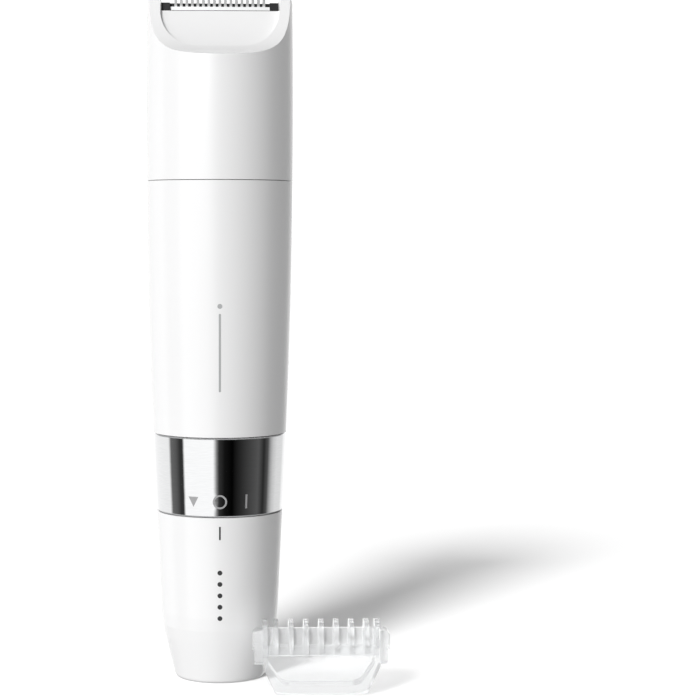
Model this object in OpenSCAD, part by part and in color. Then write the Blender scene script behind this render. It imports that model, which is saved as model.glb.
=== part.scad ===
// Battery body groomer: a round handle that stands on its battery cover, with a twist ring,
// a pull-off wedge head with a toothed cutter, and a loose clear trimming comb beside it.
// Millimetres. Z is up from the floor, the handle's axis is X = Y = 0, the front faces -Y.

/* [Overall size] */
// Height from the floor to the tips of the guard teeth
total_h = 156; // [152:1:166]
// Largest diameter of the round body, just above the head seam
body_d = 33.44; // [33:0.1:36]
// Diameter at the lower edge of the twist ring
ring_low_d = 28.8; // [28.6:0.1:30]
// Height of the battery cover below the ring
cover_h = 38.5; // [36:0.5:44]
// Height of the twist ring
ring_h = 18; // [17:0.5:21]
// Height of the pull-off head, up to the tips of the teeth
head_h = 42; // [40:0.5:46]

/* [Walls and seams] */
// Wall of the moulded shells
wall = 1.6; // [1.2:0.1:2.2]
// Thickness of the battery cover's floor
floor_t = 2; // [1.5:0.1:3]
// Open seam between two shells
seam = 0.15; // [0.1:0.05:0.4]
// Radial play of a part that turns or slides on another
run_gap = 0.08; // [0.03:0.01:0.1]
// Play between parts that are fitted and stay still
fit_gap = 0.05; // [0:0.01:0.1]

/* [Twist ring] */
// Outer radius of the necks that the ring turns on
neck_r = 12.2; // [11.8:0.1:12.4]
// Wall of the plastic carrier under the metal ring
carrier_t = 1.1; // [0.9:0.1:1.3]
// Angle from the off mark to the marks on each side
mark_step = 24; // [18:1:30]
// Depth of the printed and inlaid marks
mark_t = 0.2; // [0.1:0.05:0.4]

/* [Battery and motor] */
// Diameter of the round cell
cell_d = 14.5; // [13.5:0.1:14.6]
// Length of the cell with its terminal
cell_l = 50.5; // [49:0.5:51]
// Diameter of the motor can over its round sides
motor_d = 20; // [18:0.5:22]
// Width of the motor can over its flats
motor_flat = 15.4; // [14:0.1:16]
// Length of the motor can
motor_l = 25; // [22:0.5:27]
// Throw of the eccentric drive pin
throw = 0.75; // [0.5:0.05:1]

/* [Head and cutter] */
// Radius of the scoop cut across the front of the head
scoop_r = 15; // [13:0.5:18]
// Depth of the inner recess below the scoop
recess_t = 1; // [0.6:0.1:1.4]
// Width of the gap between the two horns
horn_gap = 26.9; // [25.5:0.1:27.5]
// Width of the cutter over its end caps
cutter_w = 26.6; // [25:0.1:27.2]
// Pitch of the teeth of the moving blade
blade_pitch = 1.25; // [1:0.05:1.6]
// Pitch of the teeth of the guard
guard_pitch = 1.25; // [1.1:0.05:1.8]
// Thickness of each blade
blade_t = 0.5; // [0.3:0.05:0.7]

/* [Trimming comb] */
// Centre of the comb to the right of the handle's axis
comb_x = 22.5; // [22:0.5:40]
// Front face of the comb, in front of the handle's axis
comb_front = 22.5; // [19:0.5:30]
// Width of the comb without its ears
comb_w = 26.1; // [24:0.1:27]
// Height of the comb
comb_h = 16.1; // [15:0.1:19]
// Depth of the comb from front to back
comb_d = 8.5; // [7:0.5:11]
// Pitch of the comb's ribs
rib_pitch = 3.36; // [2.5:0.02:4]
// Thickness of a rib
rib_t = 1.04; // [0.8:0.02:1.5]

/* [Hidden] */
$fn = 72;
e = 0.01;

body_r = body_d / 2;
ring_low_r = ring_low_d / 2;
z_ring = cover_h;                 // lower edge of the ring
z_shell = cover_h + ring_h;       // lower edge of the handle shell
z_head = total_h - head_h;        // seam under the head
z_bulge = total_h - 26;           // level of the largest diameter
barrel = pow(z_bulge - z_ring, 2) / (2 * (body_r - ring_low_r));

// the skin: a long barrel above the ring, a slight taper below it, and a steeper foot
taper = 0.045;
foot_slope = 0.24;
foot_z = 9.5;
foot_blend = 6;
foot_edge = 1;
function bend(z) = pow(max(0, foot_z + foot_blend - max(z, foot_z)), 2) * (foot_slope - taper) / (2 * foot_blend);
function low_r(z) = ring_low_r - taper * (cover_h - max(z, foot_z)) - bend(z) - foot_slope * max(0, foot_z - z);
function skin_r(z) = z >= z_ring ? body_r - pow(z - z_bulge, 2) / (2 * barrel) : low_r(z);

// ring zone radii, from the axis out
neck_bore = neck_r - 1.9;
carrier_bore = neck_r + run_gap;
ring_bore = carrier_bore + carrier_t;
tube_bore = cell_d / 2 + 0.25;
tube_r = tube_bore + 1.2;
z_cell = floor_t + 4.3;           // underside of the cell
z_cell_top = z_cell + cell_l;
z_deck = z_cell_top + 0.5;        // deck over the battery bay
neck_top = z_ring + 7.6;          // top of the cover's neck
neck_low = z_ring + 10;           // bottom of the handle's neck
z_ring_top = z_shell - seam;
lug_z = z_ring + 2.6;

// motor levels, from the head seam down
z_plate = z_head - 9;             // motor mount plate
z_can = z_plate - motor_l;
z_cam = z_plate + 2.8;
collar_r = 13.4;
collar_top = z_head + 5.5;
pin_r = 1;
pin_top = collar_top + 5.5;

// head levels, from the tips of the teeth down
z_horn = total_h - 0.5;
z_seat = total_h - 3.65;          // top edge of the head between the horns
z_recess = total_h - 12.1;        // lower edge of the inner recess
scoop_y = -19.5;
scoop_z = total_h + 0.4;
back_z = z_head + 4;
back_drop = 11.15;
back_rise = total_h - back_z;
back_r = (pow(back_rise, 2) + pow(back_drop, 2)) / (2 * back_drop);
slot = pin_r + 2 * throw + 0.1;   // half width of the fork slot

white = [0.95, 0.95, 0.95];
grey = [0.55, 0.56, 0.58];
dark = [0.08, 0.08, 0.09];
steel = [0.75, 0.76, 0.78];
copper = [0.8, 0.55, 0.3];

// ---- shared shapes ----

// solid of revolution that follows the skin, moved in by inset
module skin(z0, z1, inset = 0) {
  n = max(2, ceil((z1 - z0) / 3.2));
  rotate_extrude()
    polygon(concat([[0, z0]],
      [for (i = [0:n]) let (z = z0 + (z1 - z0) * i / n) [skin_r(z) - inset, z]], [[0, z1]]));
}

module ring_of(r1, r0, z0, z1) {
  translate([0, 0, z0]) difference() {
    cylinder(r = r1, h = z1 - z0);
    translate([0, 0, -1]) cylinder(r = r0, h = z1 - z0 + 2);
  }
}

// arc block about the axis, centred on the angle mid
module arc_of(r1, r0, z0, z1, mid, span) {
  rotate([0, 0, mid - span / 2]) rotate_extrude(angle = span)
    translate([r0, z0]) square([r1 - r0, z1 - z0]);
}

module torus_of(r, t, z) {
  translate([0, 0, z]) rotate_extrude() translate([r, 0]) circle(r = t);
}

// box given by its two corners
module span_box(a, b) {
  translate(a) cube([b[0] - a[0], b[1] - a[1], b[2] - a[2]]);
}

// shape drawn in X and Z, pushed along Y from y0 to y1
module front_prism(y0, y1) {
  translate([0, y1, 0]) rotate([90, 0, 0]) linear_extrude(height = y1 - y0) children();
}

// shape drawn in Y and Z, pushed along X from x0 to x1
module side_prism(x0, x1) {
  translate([x0, 0, 0]) rotate([90, 0, 90]) linear_extrude(height = x1 - x0) children();
}

// round wire through a list of points
module wire(pts, r) {
  for (i = [0:len(pts) - 2]) {
    d = pts[i + 1] - pts[i];
    l = norm(d);
    translate(pts[i]) rotate([0, acos(d[2] / l), atan2(d[1], d[0])]) cylinder(r = r, h = l, $fn = 24);
  }
  for (i = [1:len(pts) - 2]) translate(pts[i]) sphere(r = r * 1.08, $fn = 24);
}

// everything in front of the handle within a shape, down to mark_t below the skin
module pocket(z0, z1) {
  difference() {
    front_prism(-30, 0) children();
    skin(z0 - 2, z1 + 2, mark_t);
  }
}

// ---- battery cover, the part that stands on the floor ----

module index_shape() translate([-0.2, cover_h - 5.1]) square([0.4, 3]);

module dots_shape() for (i = [0:4]) translate([0, cover_h - 12.6 - i * 2.6]) circle(d = 1.1, $fn = 32);

module cover_outside() {
  a = 15;
  zf = foot_edge * (1 - sin(a));
  c = skin_r(zf) - foot_edge * cos(a);
  n = 13;
  rotate_extrude()
    polygon(concat([[0, 0]],
      [for (q = [-90:15:-15]) [c + foot_edge * cos(q), foot_edge * (1 + sin(q))]],
      [for (i = [1:n]) let (z = zf + (cover_h - seam - zf) * i / n) [skin_r(z), z]],
      [[0, cover_h - seam]]));
}

module cover_inside() {
  z1 = cover_h - 2.4;
  n = 10;
  rotate_extrude()
    polygon(concat([[0, floor_t]],
      [for (i = [0:n]) let (z = floor_t + (z1 - floor_t) * i / n) [skin_r(z) - wall, z]],
      [[neck_bore, z1], [neck_bore, neck_top + 1], [0, neck_top + 1]]));
}

module battery_cover() {
  color(white) {
    difference() {
      union() {
        cover_outside();
        ring_of(neck_r, neck_bore - 1, cover_h - 2, neck_top);
        for (s = [0, 180]) arc_of(neck_r + 1, neck_r - 0.5, lug_z, lug_z + 2.6, s, 12);
      }
      cover_inside();
      ring_of(neck_r + 1, neck_r - 1.2, neck_top - 2, neck_top - 0.7);
      pocket(cover_h - 6, cover_h - 2) index_shape();
      pocket(cover_h - 25, cover_h - 11) dots_shape();
    }
    // backing rib for the contact strip
    difference() {
      intersection() {
        skin(foot_z, cover_h - 2, wall / 2);
        span_box([-2.2, neck_bore - 0.1, foot_z], [2.2, 20, cover_h - 2]);
      }
      cylinder(r = neck_bore, h = 60);
    }
  }
}

module index_mark() color(dark) intersection() {
  cover_outside();
  pocket(cover_h - 6, cover_h - 2) index_shape();
}

module cover_dots() color(grey) intersection() {
  cover_outside();
  pocket(cover_h - 25, cover_h - 11) dots_shape();
}

// conical coil under the cell
module cover_spring() {
  w = 0.35;
  turns = 3.5;
  steps = 84;
  sides = 8;
  z0 = floor_t + 0.3 + w + e;
  z1 = z_cell - w - e;
  function path(i) = let (u = i / steps, r = 5.2 - 2 * u, a = 360 * turns * u + 20)
    [r * cos(a), r * sin(a), z0 + (z1 - z0) * u, a];
  pts = [for (i = [0:steps]) let (p = path(i)) for (k = [0:sides - 1])
    [p[0] + w * cos(360 * k / sides) * cos(p[3]), p[1] + w * cos(360 * k / sides) * sin(p[3]),
      p[2] + w * sin(360 * k / sides)]];
  faces = concat([[for (k = [0:sides - 1]) k]],
    [for (i = [0:steps - 1]) for (k = [0:sides - 1])
      [i * sides + k, (i + 1) * sides + k, (i + 1) * sides + (k + 1) % sides, i * sides + (k + 1) % sides]],
    [[for (k = [sides - 1:-1:0]) steps * sides + k]]);
  color(steel) polyhedron(points = pts, faces = faces, convexity = 10);
}

// strip that carries the negative pole from the coil up to the neck
module cover_contact_strip() {
  y = neck_bore - 0.15;
  color(copper) side_prism(-1.5, 1.5)
    polygon([[4.4, floor_t], [8.4, floor_t], [y, floor_t + 5.6], [y, neck_top - 0.6], [y - 0.3, neck_top - 0.6],
      [y - 0.3, floor_t + 5.7], [8.15, floor_t + 0.3], [4.4, floor_t + 0.3]]);
}

module cover_o_ring() color(dark) torus_of(neck_r - 0.57, 0.6, neck_top - 1.35);

// ---- handle ----

module mark_shape() {
  translate([-0.25, z_shell + 10.5]) square([0.5, 17]);
  translate([0, z_shell + 10.5]) circle(d = 0.5, $fn = 32);
  translate([0, z_shell + 27.5]) circle(d = 0.5, $fn = 32);
  translate([0, z_shell + 29.4]) circle(d = 1.1, $fn = 32);
}

module handle_shell() {
  z0 = z_shell;
  z1 = z_head - seam / 2;
  color(white) {
    difference() {
      skin(z0, z1);
      skin(z0 - 1, z1 + 1, wall);
      pocket(z_shell + 9, z_shell + 31) mark_shape();
    }
    // ledge under the motor plate
    difference() {
      skin(z_plate - 1.5, z_plate, wall - 0.2);
      translate([0, 0, z_plate - 5]) cylinder(r = motor_d / 2 + 2.6, h = 8);
    }
    // ribs that steady the flats of the motor
    for (s = [0, 180]) rotate([0, 0, s]) intersection() {
      skin(z_can + 2, z_plate - 1.5, wall - 0.2);
      span_box([-1, motor_flat / 2 + fit_gap, z_can + 2], [1, 20, z_plate - 1.5]);
    }
  }
}

module handle_mark() color(grey) intersection() {
  skin(z_shell, z_head - seam / 2);
  pocket(z_shell + 9, z_shell + 31) mark_shape();
}

module detent_leaf() {
  z0 = neck_low + 4.4;
  span_box([-4.6, neck_r - 1.3, z0], [4.6, neck_r - 1, z0 + 2.2]);
  translate([0, neck_r - 0.75, z0 + 0.2]) cylinder(r = 0.55, h = 1.8, $fn = 32);
}

// battery tube, neck and deck in one moulding
module chassis() {
  z0 = neck_low + 4.1;
  color(grey) difference() {
    union() {
      ring_of(tube_r, tube_bore, floor_t + 5.5, z_deck + 1);
      ring_of(neck_r, neck_bore + 0.5, neck_low, z_deck + 1);
      ring_of(neck_r + 0.3, neck_r - 0.5, neck_low + 1.8, neck_low + 2.6);
      translate([0, 0, z_deck]) cylinder(r = skin_r(z_deck + 1) - wall - fit_gap - 0.03, h = 2);
      // seat ring that stiffens the deck
      ring_of(tube_r, tube_bore - 1, z_deck + 2 - e, z_deck + 4);
    }
    // finger windows of the battery tube
    for (s = [0, 180]) rotate([0, 0, s]) span_box([0, -4, floor_t + 12], [20, 4, floor_t + 32]);
    // slots for the two poles and the leads
    translate([0, 0, z_deck - 1]) cylinder(r = 2.6, h = 8);
    span_box([-1.6, tube_r + 0.2, z_deck - 1], [1.6, tube_r + 1.4, z_deck + 6]);
    // clearance behind the detent bump
    span_box([-2.2, neck_r - 1.4, z0], [2.2, neck_r + 1, z0 + 2.8]);
    detent_leaf();
    // mouth that keeps clear of the cover's strip
    span_box([-2.4, neck_bore - 2, neck_low - 1], [2.4, neck_bore + 1, neck_low + 1.2]);
  }
}

module positive_contact() {
  color(copper) {
    translate([0, 0, z_cell_top + e]) cylinder(r = 2.2, h = 0.5);
    span_box([-0.9, -0.9, z_cell_top + 0.3], [0.9, 0.9, z_deck + 4]);
    span_box([-0.9, -5.6, z_deck + 4], [0.9, 0.9, z_deck + 4.3]);
  }
}

// leaf on the battery tube that rides on the cover's strip
module pickup_contact() {
  y = tube_r;
  color(copper) {
    span_box([-1.2, y, z_ring + 1], [1.2, y + 0.25, z_deck - e]);
    span_box([-1.2, y + 0.2, z_ring + 4.2], [1.2, neck_bore - 0.48, z_ring + 5.4]);
    span_box([-1.2, y + 0.3, z_deck - 1.3], [1.2, y + 0.6, z_deck + 6]);
    span_box([-1.2, y + 0.2, z_deck - 1.3], [1.2, y + 0.4, z_deck - 1]);
  }
}

// two pads on the underside of the deck, closed by the bridge on the ring
module switch_contacts() {
  color(copper) for (a = [118, 152])
    arc_of(ring_bore - 0.1, carrier_bore + 0.2, z_deck - 0.35, z_deck, a, 12);
}

module detent_spring() color(steel) detent_leaf();

module motor_section(inset = 0) {
  intersection() {
    circle(r = motor_d / 2 - inset);
    square([motor_d, motor_flat - 2 * inset], center = true);
  }
}

module motor_can() {
  t = 0.8;
  color(steel) difference() {
    union() {
      translate([0, 0, z_can]) linear_extrude(height = motor_l) motor_section();
      translate([0, 0, z_plate]) cylinder(r = 3, h = 1.4);
    }
    translate([0, 0, z_can - 1]) linear_extrude(height = motor_l + 1 - t) motor_section(t);
    translate([0, 0, z_plate - 3]) cylinder(r = pin_r + run_gap, h = 6);
    for (s = [-1, 1]) translate([s * 7.2, 0, z_plate - 2]) cylinder(r = 0.8, h = 4);
  }
}

// two arc magnets on the round sides of the can
module motor_magnets() {
  color(dark) for (s = [0, 180]) rotate([0, 0, s]) intersection() {
    ring_of(motor_d / 2 - 0.8, 6.6, z_can + 3, z_plate - 3);
    span_box([3.4, -motor_flat / 2 + 0.8, 0], [20, motor_flat / 2 - 0.8, total_h]);
  }
}

module motor_end_cap() {
  color(white) difference() {
    union() {
      translate([0, 0, z_can - 1.6]) linear_extrude(height = 1.6) motor_section(0.2);
      translate([0, 0, z_can]) linear_extrude(height = 1.2) motor_section(0.8 + fit_gap);
      translate([0, 0, z_can - 3]) cylinder(r = 3, h = 2);
    }
    translate([0, 0, z_can - 2.4]) cylinder(r = pin_r + run_gap, h = 5);
    for (s = [-1, 1]) span_box([s * 6 - 0.9, -0.3, z_can - 3], [s * 6 + 0.9, 0.3, z_can + 0.6]);
  }
}

module motor_terminals() {
  color(copper) for (s = [-1, 1])
    span_box([s * 6 - 0.9, -0.3, z_can - 5], [s * 6 + 0.9, 0.3, z_can + 0.6]);
}

module motor_mount() {
  color(grey) difference() {
    translate([0, 0, z_plate]) cylinder(r = skin_r(z_plate) - wall - fit_gap, h = 2);
    translate([0, 0, z_plate - 1]) cylinder(r = 3 + fit_gap, h = 4);
    for (s = [-1, 1]) translate([s * 7.2, 0, z_plate - 1]) cylinder(r = 0.9, h = 4);
    for (s = [-1, 1]) span_box([-4, s * 11 - 1.2, z_plate - 1], [4, s * 11 + 1.2, z_plate + 3]);
  }
}

// the two identical screws that hold the motor to its plate
module mount_screws() {
  color(steel) for (s = [-1, 1]) translate([s * 7.2, 0, z_plate]) difference() {
    union() {
      translate([0, 0, -1.2]) cylinder(r = 0.78, h = 3.3);
      translate([0, 0, 2]) cylinder(r = 1.5, h = 0.9);
    }
    for (q = [0, 90]) rotate([0, 0, q]) span_box([-1, -0.2, 2.4], [1, 0.2, 4]);
  }
}

module red_lead() {
  color([0.7, 0.1, 0.1])
    wire([[0, -5.6, z_deck + 4.8], [0, -7, z_deck + 5.4], [-4, -8, z_deck + 9], [-9, -4, z_can - 9],
      [-7.6, 0, z_can - 6], [-6, 0, z_can - 5.5]], 0.5);
}

module black_lead() {
  color(dark)
    wire([[0, tube_r + 0.45, z_deck + 6.5], [3, 9, z_deck + 9], [9, 3.5, z_can - 8.5],
      [6, 0, z_can - 5.5]], 0.5);
}

// small disc capacitor across the motor
module suppressor() {
  color(copper) {
    translate([0, 1.1, z_can - 8.6]) rotate([90, 0, 0]) cylinder(r = 2.6, h = 2.2);
    for (s = [-1, 1]) wire([[s * 1.4, 0, z_can - 7.6], [s * 4.6, 0, z_can - 6.6], [s * 4.75, 0, z_can - 4.2]], 0.25);
  }
}

// closed top of the handle that the head pushes onto
module head_collar() {
  color(grey) difference() {
    union() {
      translate([0, 0, z_head - 2]) cylinder(r = skin_r(z_head) - wall - fit_gap - 0.05, h = 2 - seam / 2);
      translate([0, 0, z_head - 1]) cylinder(r = collar_r, h = collar_top - z_head + 1);
    }
    translate([0, 0, z_head - 3]) cylinder(r = collar_r - 1.9, h = collar_top - z_head + 1.6);
    translate([0, 0, collar_top - 3]) cylinder(r = 4.4, h = 6);
    ring_of(collar_r + 1, collar_r - 1.2, z_head + 1.8, z_head + 3.1);
  }
}

module head_o_ring() color(dark) torus_of(collar_r - 0.53, 0.6, z_head + 2.45);

// soft washer around the drive pin
module shaft_seal() {
  color(dark) difference() {
    union() {
      ring_of(4.4, pin_r + throw + 0.35, collar_top - 1.4, collar_top);
      ring_of(3.2, pin_r + throw + 0.35, collar_top - e, collar_top + 0.9);
    }
  }
}

// ---- twist ring ----

module ring_o() difference() {
  circle(r = 1.6);
  circle(r = 1.2);
}

module ring_i() translate([-0.23, -1.58]) square([0.46, 3.16]);

module ring_v() polygon([[-1.2, 1.1], [1.2, 1.1], [0, -1.2]]);

// Flat-bottomed pockets, one at each of the three positions of the ring.
module ring_pockets() {
  z = z_ring + 3.5;
  floor_y = -(skin_r(z) - 0.3);
  front_prism(-30, floor_y) translate([0, z]) ring_o();
  rotate([0, 0, mark_step]) front_prism(-30, floor_y) translate([0, z]) ring_i();
  rotate([0, 0, -mark_step]) front_prism(-30, floor_y) translate([0, z]) ring_v();
}

module ring_outside() {
  z0 = z_ring;
  z1 = z_ring_top;
  c = 0.3;
  n = 6;
  rotate_extrude()
    polygon(concat([[ring_bore, z0], [skin_r(z0) - c, z0]],
      [for (i = [0:n]) let (z = z0 + c + (z1 - z0 - 2 * c) * i / n) [skin_r(z), z]],
      [[skin_r(z1) - c, z1], [ring_bore, z1]]));
}

module twist_ring() color(steel) difference() {
  ring_outside();
  ring_pockets();
}

module ring_marks() color(dark) intersection() {
  ring_outside();
  ring_pockets();
}

// plastic sleeve inside the metal ring: lug windows below, snap groove and detent track above
module ring_carrier() {
  z1 = z_ring_top - 0.2;
  zt = neck_low + 4.1;
  color(grey) difference() {
    ring_of(ring_bore, carrier_bore, z_ring + 0.1, z1);
    for (s = [0, 180]) arc_of(ring_bore + 1, carrier_bore - 1, z_ring - 1, lug_z + 3.2, s, 12 + 2 * mark_step + 1.5);
    ring_of(neck_r + 0.45, carrier_bore - 1, neck_low + 1.6, neck_low + 2.8);
    arc_of(neck_r + 0.5, carrier_bore - 1, zt, zt + 2.8, 90, 2 * mark_step + 16);
    for (a = [-1, 0, 1]) arc_of(neck_r + 0.7, carrier_bore - 0.5, zt + 0.2, zt + 2.6, 90 + a * mark_step, 7);
  }
}

// metal arc on top of the carrier that closes the circuit when the ring is on
module switch_bridge() {
  z1 = z_ring_top - 0.2;
  color(copper) arc_of(ring_bore - 0.15, carrier_bore + 0.25, z1, z1 + 0.2, 135 - mark_step, 50);
}

// ---- battery ----

module battery_can() {
  color(steel) {
    translate([0, 0, z_cell]) cylinder(r = cell_d / 2 - 0.1, h = cell_l - 1.4);
    translate([0, 0, z_cell_top - 2]) cylinder(r = 2.6, h = 2);
  }
}

module battery_sleeve() {
  color([0.25, 0.4, 0.55]) ring_of(cell_d / 2, cell_d / 2 - 0.1, z_cell + 0.6, z_cell_top - 2.4);
}

// ---- rotor ----

module motor_shaft() color(steel) translate([0, 0, z_can - 2.3]) cylinder(r = pin_r, h = z_cam - z_can + 4.3);

module armature() {
  color(copper) difference() {
    union() {
      for (q = [0, 120, 240]) rotate([0, 0, q]) {
        arc_of(6, 4.2, z_can + 5, z_plate - 5, 0, 82);
        span_box([0, -1, z_can + 5], [4.6, 1, z_plate - 5]);
      }
      ring_of(2.2, 0.5, z_can + 2.2, z_can + 6);
    }
    translate([0, 0, z_can]) cylinder(r = pin_r, h = motor_l);
  }
}

// disc on the motor shaft with the offset drive pin
module eccentric() {
  color(white) difference() {
    union() {
      translate([0, 0, z_cam]) cylinder(r = 3.6, h = 3);
      translate([throw, 0, z_cam + 2]) cylinder(r = pin_r, h = pin_top - z_cam - 2);
    }
    translate([0, 0, z_cam - 1]) cylinder(r = pin_r, h = 3);
  }
}

// ---- head ----

// what the scoop takes from the front, as a cylinder across the head
module scoop(grow = 0) {
  translate([-25, scoop_y, scoop_z]) rotate([0, 90, 0]) cylinder(r = scoop_r + grow, h = 50);
}

// the block behind the sloping back of the head
module back_block(inset = 0) {
  difference() {
    span_box([-25, -5, back_z], [25, 40, total_h + 10]);
    translate([-26, body_r - back_r, back_z]) rotate([0, 90, 0]) cylinder(r = back_r - inset, h = 52);
  }
}

module recess_shape() {
  r = 8.5;
  w = horn_gap / 2;
  for (s = [-1, 1]) translate([s * (w - r), z_recess + r]) circle(r = r);
  translate([-(w - r), z_recess]) square([2 * (w - r), 20]);
  translate([-w, z_recess + r]) square([2 * w, 20]);
}

// outline of the head from the front, with its rounded top corners
module horn_shape() {
  r = 1.5;
  w = body_r + 0.5;
  x = skin_r(z_horn) - r;
  translate([-w, z_head - 5]) square([2 * w, z_horn - z_head + 5 - 3]);
  translate([-x, z_horn - 8]) square([2 * x, 8]);
  for (s = [-1, 1]) translate([s * x, z_horn - r]) circle(r = r);
  translate([-x - r, z_horn - 4]) square([2 * (x + r), 4 - r]);
}

module head_form(inset, z0, z1) {
  difference() {
    skin(z0, z1, inset);
    scoop(inset);
    back_block(inset);
  }
}

module head_shell() {
  t = wall + recess_t;
  color(white) difference() {
    intersection() {
      head_form(0, z_head + seam / 2, z_horn + 0.3);
      front_prism(-30, 30) horn_shape();
    }
    // inner recess, one step below the scoop
    intersection() {
      front_prism(-30, 0) recess_shape();
      scoop(recess_t);
    }
    // room between the horns
    front_prism(-30, 30) translate([-horn_gap / 2, z_seat]) square([horn_gap, 20]);
    // hollow inside, and the socket for the collar
    difference() {
      skin(collar_top + 2.2, z_seat - 5.4, wall);
      scoop(t);
      back_block(wall);
    }
    translate([0, 0, z_head - 1]) cylinder(r = collar_r + run_gap, h = collar_top - z_head + 1.2);
    translate([0, 0, collar_top]) cylinder(r = collar_r + run_gap, h = 4);
    // slot for the cutter
    span_box([-cutter_w / 2 - fit_gap, -3.3, z_seat - 5.5], [cutter_w / 2 + fit_gap, 3.7, z_horn + 5]);
  }
}

// disc that closes the head's hollow above the collar
module head_base() {
  color(grey) difference() {
    translate([0, 0, collar_top + 0.3]) cylinder(r = collar_r, h = 1.6);
    span_box([-4.3 - throw - 0.4, -3.6, collar_top - 1], [4.3 + throw + 0.4, 3.6, collar_top + 4]);
  }
}

// cross bar in the hollow that guides the drive arm
module arm_guide() {
  z0 = z_head + 16;
  color(grey) difference() {
    intersection() {
      head_form(wall + fit_gap, z0 - 1, z0 + 4);
      span_box([-20, -4, z0], [20, 4, z0 + 3]);
    }
    span_box([-2 - throw - 0.1, -1.6, z0 - 1], [2 + throw + 0.1, 1.6, z0 + 5]);
  }
}

blade_y = -2.7;                   // front face of the moving blade
guard_y = blade_y + blade_t + run_gap;
z_teeth = total_h - 2.6;          // root of the teeth

module cutter_frame() {
  w = cutter_w / 2;
  cap = 2;
  top = total_h - 1.75;
  bar = z_seat + 0.2;
  low = z_seat - 4.9;
  color(dark) difference() {
    union() {
      span_box([-w, -3.25, low], [w, 3.6, bar]);
      for (s = [-1, 1]) span_box([min(s * w, s * (w - cap)), -3.25, bar - 1],
        [max(s * w, s * (w - cap)), 1.6, top]);
      // bar behind the teeth
      span_box([-w + 0.4, guard_y + blade_t + 0.02, bar - 1], [w - 0.4, 0.6, top]);
    }
    // pocket for the two blades
    span_box([-w + 0.3, blade_y - run_gap, low - 1], [w - 0.3, guard_y + blade_t + 0.02, z_teeth + 0.1]);
    span_box([-w + cap, blade_y - run_gap, z_teeth], [w - cap, guard_y + blade_t + 0.02, top + 1]);
    // mouth for the drive arm
    span_box([-3.2 - throw, blade_y - run_gap, low - 1], [3.2 + throw, 2.3, low + 2.2]);
    // step in the frame's back
    span_box([-w + cap, 0.6, bar - 1.2], [w - cap, 2.6, bar + 2]);
  }
}

// blade outline from the front: a straight body with tapered teeth along its top edge
module toothed(x, z0, z1, pitch, tooth, tip, count) {
  polygon(concat([[-x, z0], [-x, z_teeth]],
    [for (i = [0:count - 1]) let (c = (i - (count - 1) / 2) * pitch)
      each [[c - tooth / 2, z_teeth], [c - tooth / 2, z1 - 0.5], [c - tip / 2, z1], [c + tip / 2, z1],
        [c + tooth / 2, z1 - 0.5], [c + tooth / 2, z_teeth]]],
    [[x, z_teeth], [x, z0]]));
}

// still toothed guard behind the moving blade
module guard_blade() {
  n = floor((cutter_w - 4.6) / guard_pitch);
  color(steel) front_prism(guard_y, guard_y + blade_t)
    toothed(cutter_w / 2 - 0.5, z_seat - 2.4, total_h, guard_pitch, 0.62, 0.34, n);
}

// moving blade, whose ends run inside the end caps
module moving_blade() {
  n = floor((cutter_w - 4.6) / blade_pitch);
  color(steel) front_prism(blade_y, blade_y + blade_t)
    toothed(cutter_w / 2 - 1.2, z_seat - 4.4, total_h - 1.2, blade_pitch, 0.6, 0.36, n);
}

// wire spring that bears on the drive arm
module blade_spring() {
  z = z_seat - 4.9;
  color(steel) wire([[-5.5, 2.9, z - 0.35], [-5.5, 3, z - 8], [-3.5, 2.4, z - 10], [3.5, 2.4, z - 10],
    [5.5, 3, z - 8], [5.5, 2.9, z - 0.35]], 0.35);
}

module drive_arm() {
  zf = collar_top + 1;
  zc = pin_top + 1;
  zt = z_seat - 4.9;
  color(white) {
    // fork that straddles the drive pin
    for (s = [-1, 1]) span_box([s > 0 ? slot : -slot - 1.6, -2.8, zf], [s > 0 ? slot + 1.6 : -slot, 2.8, zc]);
    span_box([-slot - 1.6, -2.8, zc - e], [slot + 1.6, 2.8, zc + 1.8]);
    span_box([-2, -1.5, zc + 1], [2, 1.5, zt - 1]);
    span_box([-3, blade_y + blade_t, zt - 1.5], [3, 1.6, zt + 2]);
  }
}

// ---- loose trimming comb, standing on the floor ----

module comb_outline() {
  w = comb_w / 2;
  polygon([[-w, comb_h], [-w, 6.5], [-w + 2.6, 0.7], [-w + 3.1, 0.3], [-w + 6, 0], [w - 6, 0], [w - 3.1, 0.3],
    [w - 2.6, 0.7], [w, 6.5], [w, comb_h]]);
}

module comb_hollow() {
  w = comb_w / 2 - 1.15;
  polygon([[-w, comb_h + 1], [-w, 6.8], [-w + 2.9, 2.6], [-w + 4.6, 2], [w - 4.6, 2], [w - 2.9, 2.6], [w, 6.8],
    [w, comb_h + 1]]);
}

// rib seen from the side: an arch over the blades
module rib_arch() {
  y0 = -comb_front;
  y1 = y0 + comb_d;
  ra = 4.2;
  rb = 3;
  t = 1.5;
  difference() {
    union() {
      translate([y0 + ra, comb_h - ra]) circle(r = ra);
      translate([y1 - rb, comb_h - rb]) circle(r = rb);
      translate([y0 + ra, comb_h - ra]) square([comb_d - ra - rb, ra]);
      translate([y0, 7.4]) square([comb_d - rb, comb_h - ra - 7.4]);
      translate([y1 - rb - 1, 7.4]) square([rb + 1, comb_h - rb - 7.4]);
    }
    translate([y0 + ra, comb_h - ra]) circle(r = ra - t);
    translate([y1 - rb, comb_h - rb]) circle(r = rb - t);
    translate([y0 + ra, 0]) square([comb_d - ra - rb, comb_h - t]);
    translate([y0 + t, 0]) square([comb_d - t - rb, comb_h - ra]);
    translate([y1 - rb - 1, 0]) square([rb + 1 - t, comb_h - rb]);
  }
}

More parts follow.
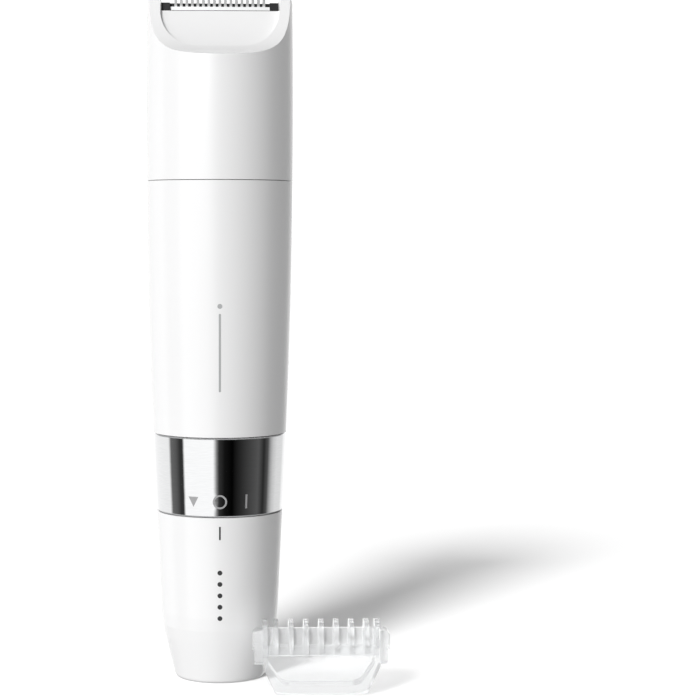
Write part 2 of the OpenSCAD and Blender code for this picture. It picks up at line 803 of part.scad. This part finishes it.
module ear() {
  w = comb_w / 2;
  y0 = -comb_front + 2.2;
  front_prism(y0, y0 + 4.4) {
    square_h = 4.2;
    translate([w - 0.3, 9.8]) square([2.5 - 1.2, square_h]);
    translate([w - 0.3, 9.8]) square([2.5, square_h - 1.2]);
    translate([w + 1, 12.8]) circle(r = 1.2, $fn = 32);
    translate([w - 0.3, 6.5]) square([2.1, 3.4]);
  }
}

module comb_attachment() {
  y0 = -comb_front;
  y1 = y0 + comb_d;
  color([0.85, 0.9, 0.95, 0.5]) translate([comb_x, 0, 0]) {
    // tray: a rim that follows the outline, behind the front plate
    difference() {
      front_prism(y0 + 0.6, y0 + 6.6) intersection() {
        comb_outline();
        translate([-20, 0]) square([40, 10.3]);
      }
      front_prism(y0 - 1, y0 + 20) comb_hollow();
    }
    // front plate, which leans back under the ribs
    intersection() {
      front_prism(y0 - 1, y0 + 20) comb_outline();
      side_prism(-comb_w / 2, comb_w / 2) polygon([[y0 + 0.5, 0], [y0 + 0.1, 2], [y0, 5], [y0 + 0.1, 8],
        [y0 + 0.7, 11], [y0 + 1.9, 14.7], [y0 + 3.1, 14.7], [y0 + 1.9, 11], [y0 + 1.3, 8], [y0 + 1.2, 5],
        [y0 + 1.3, 2], [y0 + 1.7, 0]]);
    }
    // arched ribs and the two edge walls
    for (i = [-3:3]) side_prism(i * rib_pitch - rib_t / 2, i * rib_pitch + rib_t / 2) rib_arch();
    for (s = [-1, 1]) side_prism(s > 0 ? comb_w / 2 - 1.15 : -comb_w / 2, s > 0 ? comb_w / 2 : -comb_w / 2 + 1.15)
      rib_arch();
    // tie bar across the back of the ribs
    span_box([-comb_w / 2, y1 - 1.5, 7.4], [comb_w / 2, y1, 9.6]);
    ear();
    mirror([1, 0, 0]) ear();
  }
}

battery_cover();
cover_spring();
cover_contact_strip();
cover_o_ring();
index_mark();
cover_dots();
handle_shell();
handle_mark();
chassis();
positive_contact();
pickup_contact();
switch_contacts();
detent_spring();
motor_can();
motor_magnets();
motor_end_cap();
motor_terminals();
motor_mount();
mount_screws();
red_lead();
black_lead();
suppressor();
head_collar();
head_o_ring();
shaft_seal();
twist_ring();
ring_carrier();
ring_marks();
switch_bridge();
battery_can();
battery_sleeve();
motor_shaft();
armature();
eccentric();
head_shell();
head_base();
arm_guide();
cutter_frame();
guard_blade();
blade_spring();
moving_blade();
drive_arm();
comb_attachment();
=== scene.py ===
"""Body groomer: looks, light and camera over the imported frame, at the photograph's angle."""
import math

import bpy
from mathutils import Matrix, Vector

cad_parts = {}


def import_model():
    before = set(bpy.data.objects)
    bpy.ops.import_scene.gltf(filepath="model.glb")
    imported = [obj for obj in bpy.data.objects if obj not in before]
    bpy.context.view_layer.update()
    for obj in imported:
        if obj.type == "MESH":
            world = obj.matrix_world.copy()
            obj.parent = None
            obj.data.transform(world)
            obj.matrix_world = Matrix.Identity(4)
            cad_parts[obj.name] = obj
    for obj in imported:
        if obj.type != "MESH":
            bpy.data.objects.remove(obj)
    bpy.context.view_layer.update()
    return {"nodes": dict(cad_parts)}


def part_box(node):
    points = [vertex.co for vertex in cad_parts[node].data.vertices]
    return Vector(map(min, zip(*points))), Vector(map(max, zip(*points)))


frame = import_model()
N = frame["nodes"]
scene = bpy.context.scene
col = scene.collection
MM = 0.001


# ---------- camera, at the photograph's angle ----------
CAMERA_AT = (0, -0.462, 0.1035)
CAMERA_TURN = (2.1144, -2.8022, 0.1005)    # yaw, pitch and roll, in degrees
FOCAL_MM = 103.3485
SENSOR_MM = 36
SHIFT = (0.08, -0.035)
CLIP = (0.01, 20)


def camera():
    data = bpy.data.cameras.new("camera")
    cam = bpy.data.objects.new("camera", data)
    col.objects.link(cam)
    scene.camera = cam
    data.sensor_width, data.lens = SENSOR_MM, FOCAL_MM
    data.shift_x, data.shift_y = SHIFT
    data.clip_start, data.clip_end = CLIP
    yaw, pitch, roll = (math.radians(v) for v in CAMERA_TURN)
    forward = Vector((math.sin(yaw) * math.cos(pitch), math.cos(yaw) * math.cos(pitch),
                      math.sin(pitch)))
    right = Vector((math.cos(yaw), -math.sin(yaw), 0))
    up = right.cross(forward)
    x = right * math.cos(roll) + up * math.sin(roll)
    y = up * math.cos(roll) - right * math.sin(roll)
    turn = Matrix((x, y, -forward)).transposed().to_4x4()
    turn.translation = Vector(CAMERA_AT)
    cam.matrix_world = turn


camera()


# ---------- node material helpers ----------
class Mat:
    def __init__(self, name, **sockets):
        self.m = bpy.data.materials.new(name)
        self.m.use_nodes = True
        self.nt = self.m.node_tree
        self.b = self.nt.nodes["Principled BSDF"]
        for k, v in sockets.items():
            self.set(k, v)

    def set(self, name, value):
        s = self.b.inputs[name.replace("_", " ")]
        s.default_value = (*value, 1) if isinstance(value, tuple) and len(value) == 3 else value

    def node(self, kind, **props):
        n = self.nt.nodes.new(kind)
        for k, v in props.items():
            if k in n.inputs:
                n.inputs[k].default_value = v
            else:
                setattr(n, k, v)
        return n

    def link(self, a, b):
        self.nt.links.new(a, b)

    def coords(self, scale=(1, 1, 1)):
        tc = self.node("ShaderNodeTexCoord")
        mp = self.node("ShaderNodeMapping")
        mp.inputs["Scale"].default_value = scale
        self.link(tc.outputs["Object"], mp.inputs["Vector"])
        return mp.outputs["Vector"]

    def noise(self, scale, detail=3, stretch=(1, 1, 1), rough=0.5):
        n = self.node("ShaderNodeTexNoise")
        n.inputs["Scale"].default_value = scale
        n.inputs["Detail"].default_value = detail
        n.inputs["Roughness"].default_value = rough
        self.link(self.coords(stretch), n.inputs["Vector"])
        return n.outputs["Fac"]

    def ramp(self, fac, stops):
        r = self.node("ShaderNodeValToRGB")
        while len(r.color_ramp.elements) < len(stops):
            r.color_ramp.elements.new(0.5)
        for el, (p, c) in zip(r.color_ramp.elements, stops):
            el.position = p
            el.color = (*c, 1) if isinstance(c, tuple) else (c, c, c, 1)
        self.link(fac, r.inputs["Fac"])
        return r.outputs["Color"]

    def remap(self, fac, lo, hi):
        r = self.node("ShaderNodeMapRange")
        r.inputs["To Min"].default_value = lo
        r.inputs["To Max"].default_value = hi
        self.link(fac, r.inputs["Value"])
        return r.outputs["Result"]

    def colour(self, fac, stops):
        self.link(self.ramp(fac, stops), self.b.inputs["Base Color"])

    def paint_shade_above(self, z_low, z_high, amount):
        """Painted shade: multiply the colour by (1 - amount) above z_high, fading in from z_low, in
        metres.
        """
        sep = self.node("ShaderNodeSeparateXYZ")
        self.link(self.coords(), sep.inputs[0])
        fade = self.node("ShaderNodeMapRange")
        fade.inputs["From Min"].default_value = z_low
        fade.inputs["From Max"].default_value = z_high
        fade.inputs["To Min"].default_value = 1
        fade.inputs["To Max"].default_value = 1 - amount
        self.link(sep.outputs["Z"], fade.inputs["Value"])
        base = self.b.inputs["Base Color"].links[0].from_socket
        scale = self.node("ShaderNodeVectorMath", operation="SCALE")
        self.link(base, scale.inputs[0])
        self.link(fade.outputs["Result"], scale.inputs["Scale"])
        self.link(scale.outputs[0], self.b.inputs["Base Color"])

    def rough(self, fac, lo, hi):
        self.link(self.remap(fac, lo, hi), self.b.inputs["Roughness"])

    def bump(self, fac, strength, distance):
        b = self.node("ShaderNodeBump")
        b.inputs["Strength"].default_value = strength
        b.inputs["Distance"].default_value = distance
        self.link(fac, b.inputs["Height"])
        self.link(b.outputs["Normal"], self.b.inputs["Normal"])


# noise scales are per metre; bump heights are in metres
SHADE_SCALE = 38
HANDLING_SCALE = 95
PEEL_HEIGHT = 0.00002
GRAIN_HEIGHT = 0.000008
GRAIN_SHADE = 0.93


def plastic(name, base, spread, rough, peel=0.05, scale=260):
    """Moulded plastic: faint shade variation, gloss that varies, a fine orange peel."""
    t = Mat(name, Specular_IOR_Level=0.5)
    darker = tuple(c * (1 - spread) for c in base)
    t.colour(t.noise(SHADE_SCALE, 4), [(0.3, darker), (0.7, base)])
    t.rough(t.noise(HANDLING_SCALE, 5, rough=0.6), *rough)
    t.bump(t.noise(scale * 10, 2), peel, PEEL_HEIGHT)
    return t


def metal(name, base, rough, stretch=(1, 1, 1), scale=900, bump=0.1):
    """Bare metal: a grain that shades, roughens and lifts the surface, drawn out along one axis."""
    t = Mat(name, Metallic=1.0)
    grain = t.noise(scale, 4, stretch)
    t.colour(grain, [(0.25, tuple(c * GRAIN_SHADE for c in base)), (0.75, base)])
    t.rough(t.noise(scale * 0.6, 5, stretch, 0.65), *rough)
    t.bump(grain, bump, GRAIN_HEIGHT)
    return t


# ---------- materials ----------
shell = plastic("gloss_white_shell", (0.87, 0.87, 0.872), 0.012, (0.19, 0.27), 0.04)
shell.set("Coat Weight", 0.15)
shell.set("Coat Roughness", 0.08)
inner = plastic("moulded_grey", (0.3, 0.31, 0.32), 0.08, (0.42, 0.55), 0.25)
black = plastic("black_plastic", (0.012, 0.012, 0.013), 0.3, (0.28, 0.42), 0.2)
ink = plastic("dark_ink", (0.03, 0.03, 0.032), 0.2, (0.4, 0.55), 0.2)
grey_ink = plastic("grey_ink", (0.42, 0.425, 0.43), 0.06, (0.42, 0.55), 0.2)
ring_ink = plastic("ring_grey_ink", (0.36, 0.36, 0.365), 0.06, (0.4, 0.5), 0.2)
chrome = metal("ring_chrome", (0.78, 0.785, 0.79), (0.02, 0.05), (1, 1, 14), 420, 0.006)
blade = metal("ground_blade", (0.84, 0.845, 0.85), (0.42, 0.55), (1, 1, 26), 700, 0.2)
# painted shade: the teeth are darkened above their roots, standing in for the shade among the teeth
PAINTED_SHADE_FADE = (2.7, 2.2)    # mm below the tips, where the painted shade starts and is full
PAINTED_TEETH_SHADE = 0.5
teeth_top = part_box("guard_blade")[1][2]
# paint shade onto the blades' teeth, darker with height
blade.paint_shade_above(*(teeth_top - drop * MM for drop in PAINTED_SHADE_FADE), PAINTED_TEETH_SHADE)
steel = metal("zinc_steel", (0.55, 0.56, 0.57), (0.3, 0.42), (1, 1, 1), 900, 0.15)
spring = metal("spring_wire", (0.62, 0.62, 0.63), (0.18, 0.28), (1, 1, 1), 2200, 0.1)
brass = metal("plated_contact", (0.72, 0.58, 0.34), (0.22, 0.35), (1, 14, 1), 800, 0.12)
copper = metal("enamelled_winding", (0.68, 0.3, 0.14), (0.3, 0.4), (1, 1, 40), 1600, 0.4)
rubber = plastic("seal_rubber", (0.02, 0.02, 0.021), 0.3, (0.6, 0.78), 0.5)
ferrite = plastic("sintered_magnet", (0.05, 0.05, 0.053), 0.3, (0.6, 0.75), 0.7, 400)
wrap = plastic("cell_wrap", (0.07, 0.16, 0.26), 0.1, (0.22, 0.32), 0.08)
red = plastic("red_insulation", (0.45, 0.02, 0.02), 0.12, (0.4, 0.5), 0.15)
tan = plastic("capacitor_dip", (0.5, 0.27, 0.09), 0.15, (0.35, 0.5), 0.25)
drive = plastic("drive_white", (0.74, 0.74, 0.71), 0.04, (0.34, 0.46), 0.2)

clear = Mat("clear_moulding", Transmission_Weight=0.8, IOR=1.49, Specular_IOR_Level=0.5)
clear.colour(clear.noise(60, 3), [(0.3, (0.955, 0.965, 0.97)), (0.7, (0.975, 0.98, 0.985))])
clear.rough(clear.noise(140, 4), 0.02, 0.06)
clear.bump(clear.noise(2200, 2), 0.04, PEEL_HEIGHT)

FINISH = {
    shell: "battery_cover handle_shell head_shell",
    inner: "chassis motor_mount head_collar ring_carrier head_base arm_guide",
    black: "cutter_frame black_lead",
    ink: "index_mark cover_dots",
    grey_ink: "handle_mark",
    ring_ink: "ring_marks",
    chrome: "twist_ring",
    blade: "guard_blade moving_blade",
    steel: "motor_can mount_screws battery_can",
    spring: "cover_spring detent_spring blade_spring motor_shaft",
    brass: ("cover_contact_strip positive_contact pickup_contact switch_contacts motor_terminals"
            " switch_bridge"),
    copper: "armature",
    rubber: "cover_o_ring head_o_ring shaft_seal",
    ferrite: "motor_magnets",
    wrap: "battery_sleeve",
    red: "red_lead",
    tan: "suppressor",
    drive: "motor_end_cap eccentric drive_arm",
    clear: "comb_attachment",
}
for finish, names in FINISH.items():
    for name in names.split():
        slots = N[name].data.materials
        slots.clear()
        slots.append(finish.m)


# ---------- floor and light ----------
FLOOR_HALF = 40.0
FLOOR_GREY = (0.79, 0.8)
# the surround by compass direction: (degrees from the front, brightness)
SURROUND = [(-180, 1.15), (-150, 1.12), (-102, 1.08), (-96, 0.17), (-84, 0.12), (-75, 0.04),
            (-69, 0.04), (-65, 1.25), (-12, 1.25), (-6, 0.3), (-2, 0.04), (8, 0.008), (22, 0.001),
            (36, 0.024), (56, 0.07), (72, 0.11), (84, 0.025), (94, 0.1), (101, 0.45), (108, 0.7),
            (120, 0.88), (140, 0.88), (150, 1.1), (180, 1.15)]
# fill light above and below the horizon band, its share there, and where the band fades out
ZENITH = 0.36
NADIR = 0.38
FILL_SHARE = 0.8
BAND = (0.28, 0.42)
WORLD = 1.0
# the colour sockets of a Mix node, by index
MIX_A, MIX_B, MIX_RESULT = 6, 7, 2


def floor():
    """Plain pale floor that the object's reflections, bounce light and shadows never see."""
    mesh = bpy.data.meshes.new("floor")
    s = FLOOR_HALF
    mesh.from_pydata([(-s, -s, 0), (s, -s, 0), (s, s, 0), (-s, s, 0)], [], [(0, 1, 2, 3)])
    o = bpy.data.objects.new("floor", mesh)
    col.objects.link(o)
    t = Mat("pale_floor", Specular_IOR_Level=0.3)
    low, high = ((g, g, g) for g in FLOOR_GREY)
    t.colour(t.noise(9, 4), [(0.3, low), (0.7, high)])
    t.rough(t.noise(40, 3), 0.5, 0.6)
    mesh.materials.append(t.m)
    o.visible_glossy = o.visible_diffuse = o.visible_shadow = False
    return o


def group_of(name, objects):
    group = bpy.data.collections.new(name)
    for o in objects:
        group.objects.link(o)
    return group


def sun(name, az, el, strength, spread, lit, blockers=()):
    """Soft sun on the objects in lit, with az, el and spread in degrees.

    Where blockers are named, only they cast its shadow.
    """
    data = bpy.data.lights.new(name, "SUN")
    data.energy, data.angle = strength, math.radians(spread)
    o = bpy.data.objects.new(name, data)
    a, e = math.radians(az), math.radians(el)
    towards = Vector((math.sin(a) * math.cos(e), -math.cos(a) * math.cos(e), math.sin(e)))
    o.rotation_mode = "QUATERNION"
    o.rotation_quaternion = towards.to_track_quat("Z", "Y")
    o.location = towards
    col.objects.link(o)
    o.light_linking.receiver_collection = group_of(name + "_lit", lit)
    if blockers:
        o.light_linking.blocker_collection = group_of(name + "_shade", blockers)


def world():
    """Studio surround by direction: white behind, dark cards for the ring to reflect, soft fill."""
    w = bpy.data.worlds.new("studio")
    scene.world = w
    w.use_nodes = True
    nt = w.node_tree
    background = nt.nodes["Background"]
    link = nt.links.new

    coords = nt.nodes.new("ShaderNodeTexCoord")
    axes = nt.nodes.new("ShaderNodeSeparateXYZ")
    link(coords.outputs["Generated"], axes.inputs[0])

    # compass direction: arctan2(x, -y), mapped from -180..180 degrees to 0..1
    minus_y = nt.nodes.new("ShaderNodeMath")
    minus_y.operation = "MULTIPLY"
    minus_y.inputs[1].default_value = -1
    link(axes.outputs["Y"], minus_y.inputs[0])
    angle = nt.nodes.new("ShaderNodeMath")
    angle.operation = "ARCTAN2"
    link(axes.outputs["X"], angle.inputs[0])
    link(minus_y.outputs[0], angle.inputs[1])
    turn = nt.nodes.new("ShaderNodeMapRange")
    turn.inputs["From Min"].default_value = -math.pi
    turn.inputs["From Max"].default_value = math.pi
    link(angle.outputs[0], turn.inputs["Value"])

    ramp = nt.nodes.new("ShaderNodeValToRGB")
    stops = ramp.color_ramp.elements
    while len(stops) < len(SURROUND):
        stops.new(0.5)
    for stop, (degrees, v) in zip(stops, SURROUND):
        stop.position = (degrees + 180) / 360
        stop.color = (v, v, v, 1)
    link(turn.outputs["Result"], ramp.inputs["Fac"])

    last = ramp.outputs["Color"]
    near, far = BAND
    for side, fill in ((1, ZENITH), (-1, NADIR)):
        fade = nt.nodes.new("ShaderNodeMapRange")
        fade.inputs["From Min"].default_value = side * near
        fade.inputs["From Max"].default_value = side * far
        fade.inputs["To Max"].default_value = FILL_SHARE
        link(axes.outputs["Z"], fade.inputs["Value"])
        mix = nt.nodes.new("ShaderNodeMix")
        mix.data_type = "RGBA"
        link(fade.outputs["Result"], mix.inputs["Factor"])
        link(last, mix.inputs[MIX_A])
        mix.inputs[MIX_B].default_value = (fill, fill, fill, 1)
        last = mix.outputs[MIX_RESULT]
    link(last, background.inputs["Color"])
    background.inputs["Strength"].default_value = WORLD


ground = floor()
world()
comb = N["comb_attachment"]
body = [o for o in bpy.data.objects if o.type == "MESH" and o not in (ground, comb)]
# the clear comb takes only a part of the floor's light
sun("key_on_floor", -26, 36.5, 3.25, 14, [ground], body)
sun("key_on_floor_comb", -26, 36.5, 1.45, 14, [ground])
sun("key_on_object", -26, 20, 2.1, 24, body)
sun("key_on_comb", -31, 20, 4.0, 24, [comb])
scene.view_settings.view_transform = "Standard"
